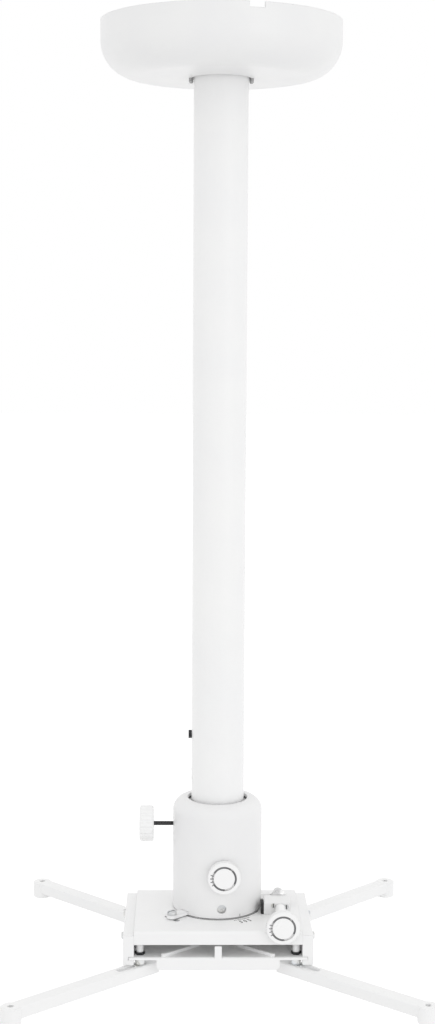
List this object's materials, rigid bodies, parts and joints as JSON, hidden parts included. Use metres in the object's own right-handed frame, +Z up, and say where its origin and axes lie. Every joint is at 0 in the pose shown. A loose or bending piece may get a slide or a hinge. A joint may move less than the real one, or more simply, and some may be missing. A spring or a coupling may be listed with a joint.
{
  "type": "projector ceiling mount",
  "caption": "Ceiling mount for a projector: round canopy, telescopic drop tube, tilt and yaw head with worm drives, slide plate and adjustable spider arms.",
  "frame": {"origin": "centre of the ceiling plate's upper face, in the ceiling plane on the column's axis", "axes": "+Z up towards the ceiling along the column, -Y towards the front with the two adjusting knobs, +X to the right"},
  "size_m": [0.384, 0.345, 0.8791],
  "materials": {
    "white_powder": "satin white powder coat",
    "white_plastic": "moulded, satin gloss",
    "nylon": "natural nylon",
    "soft_rubber": "matt white rubber",
    "dark_steel": "black oxide",
    "zinc_steel": "bright zinc plate",
    "machined_steel": "machined, light oil"
  },
  "bodies": {
    "ceiling_column": {"ceiling_plate": "white_powder", "tube_collar": "white_powder", "collar_bolt": "zinc_steel", "collar_nut": "zinc_steel", "outer_tube": "white_powder", "tube_end_bush": "nylon", "height_clamp_bolt": "dark_steel"},
    "canopy_body": {"canopy": "white_plastic", "canopy_grip": "soft_rubber"},
    "drop_tube": {"inner_tube": "white_powder", "tube_guide": "nylon", "swivel_seat": "machined_steel"},
    "swivel": {"swivel_hub": "machined_steel", "swivel_cap": "machined_steel", "swivel_shroud": "white_plastic"},
    "thumb_screw": {"thumb_stud": "dark_steel", "thumb_knob": "white_plastic"},
    "gimbal": {"gimbal_ring": "machined_steel", "tilt_pins": "zinc_steel"},
    "tilt_drive": {"tilt_worm": "machined_steel", "tilt_knob": "white_plastic"},
    "head": {"housing": "white_powder", "roll_pins": "zinc_steel", "housing_base": "machined_steel", "base_screws": "zinc_steel", "pivot_bolt": "zinc_steel", "pivot_nut": "zinc_steel", "lock_lug": "white_powder", "yaw_lock_screw": "zinc_steel", "yaw_lock_nut": "zinc_steel"},
    "plate": {"head_plate": "white_powder", "yaw_washer": "nylon", "left_rail": "white_powder", "right_rail": "white_powder", "rail_screws": "zinc_steel", "worm_block": "white_powder", "rear_bearing": "machined_steel", "block_screws": "zinc_steel"},
    "yaw_drive": {"yaw_worm": "machined_steel", "yaw_knob": "white_plastic"},
    "slide": {"slide_plate": "white_powder", "arm_spacers": "zinc_steel", "arm_bolts": "zinc_steel", "arm_nuts": "dark_steel", "arm_caps": "white_plastic"},
    "key_front_left": {"arm_key_front_left": "zinc_steel"},
    "arm_front_left": {"arm_front_left": "white_powder"},
    "key_front_right": {"arm_key_front_right": "zinc_steel"},
    "arm_front_right": {"arm_front_right": "white_powder"},
    "key_back_left": {"arm_key_back_left": "zinc_steel"},
    "arm_back_left": {"arm_back_left": "white_powder"},
    "key_back_right": {"arm_key_back_right": "zinc_steel"},
    "arm_back_right": {"arm_back_right": "white_powder"}
  },
  "joints": [
    {"name": "canopy_drop", "type": "slide", "parent": "ceiling_column", "child": "canopy_body", "axis": [0, 0, -1], "range_m": [0, 0.2]},
    {"name": "drop", "type": "slide", "parent": "ceiling_column", "child": "drop_tube", "axis": [0, 0, -1], "range_m": [0, 0.25]},
    {"name": "swivel_turn", "type": "hinge", "parent": "drop_tube", "child": "swivel", "pos_m": [0, 0, -0.7484], "axis": [0, 0, 1], "continuous": true},
    {"name": "thumb_turn", "type": "hinge", "parent": "swivel", "child": "thumb_screw", "pos_m": [-0.06, 0, -0.7484], "axis": [-1, 0, 0], "continuous": true},
    {"name": "tilt", "type": "hinge", "parent": "swivel", "child": "gimbal", "pos_m": [0, 0, -0.7605], "axis": [1, 0, 0], "range_deg": [-3, 3]},
    {"name": "tilt_knob_turn", "type": "hinge", "parent": "gimbal", "child": "tilt_drive", "pos_m": [0.0057, 0, -0.7865], "axis": [0, 1, 0], "range_deg": [-120, 120]},
    {"name": "roll", "type": "hinge", "parent": "gimbal", "child": "head", "pos_m": [0, 0, -0.7605], "axis": [0, 1, 0], "range_deg": [-3, 3]},
    {"name": "yaw", "type": "hinge", "parent": "head", "child": "plate", "pos_m": [0, 0, -0.829], "axis": [0, 0, 1], "range_deg": [-6, 6]},
    {"name": "yaw_knob_turn", "type": "hinge", "parent": "plate", "child": "yaw_drive", "pos_m": [0.0595, 0, -0.8232], "axis": [0, 1, 0], "range_deg": [-630, 630]},
    {"name": "slide_out", "type": "slide", "parent": "plate", "child": "slide", "axis": [0, -1, 0], "range_m": [0, 0.06]},
    {"name": "arm_turn_front_left", "type": "hinge", "parent": "slide", "child": "key_front_left", "pos_m": [-0.0725, -0.064, -0.8631], "axis": [0, 0, 1], "range_deg": [-20, 20]},
    {"name": "arm_slide_front_left", "type": "slide", "parent": "key_front_left", "child": "arm_front_left", "axis": [0.7534, 0.6575, 0], "range_m": [0, 0.02]},
    {"name": "arm_turn_front_right", "type": "hinge", "parent": "slide", "child": "key_front_right", "pos_m": [0.0725, -0.064, -0.8631], "axis": [0, 0, 1], "range_deg": [-20, 20]},
    {"name": "arm_slide_front_right", "type": "slide", "parent": "key_front_right", "child": "arm_front_right", "axis": [-0.7534, 0.6575, 0], "range_m": [0, 0.02]},
    {"name": "arm_turn_back_left", "type": "hinge", "parent": "slide", "child": "key_back_left", "pos_m": [-0.0725, 0.062, -0.8631], "axis": [0, 0, 1], "range_deg": [-20, 20]},
    {"name": "arm_slide_back_left", "type": "slide", "parent": "key_back_left", "child": "arm_back_left", "axis": [0.7266, -0.687, 0], "range_m": [0, 0.02]},
    {"name": "arm_turn_back_right", "type": "hinge", "parent": "slide", "child": "key_back_right", "pos_m": [0.0725, 0.062, -0.8631], "axis": [0, 0, 1], "range_deg": [-20, 20]},
    {"name": "arm_slide_back_right", "type": "slide", "parent": "key_back_right", "child": "arm_back_right", "axis": [-0.7266, -0.687, 0], "range_m": [0, 0.02]}
  ],
  "couplings": [
    {"joint": "tilt_knob_turn", "follows": "tilt", "ratio": 40},
    {"joint": "yaw_knob_turn", "follows": "yaw", "ratio": 105}
  ]
}
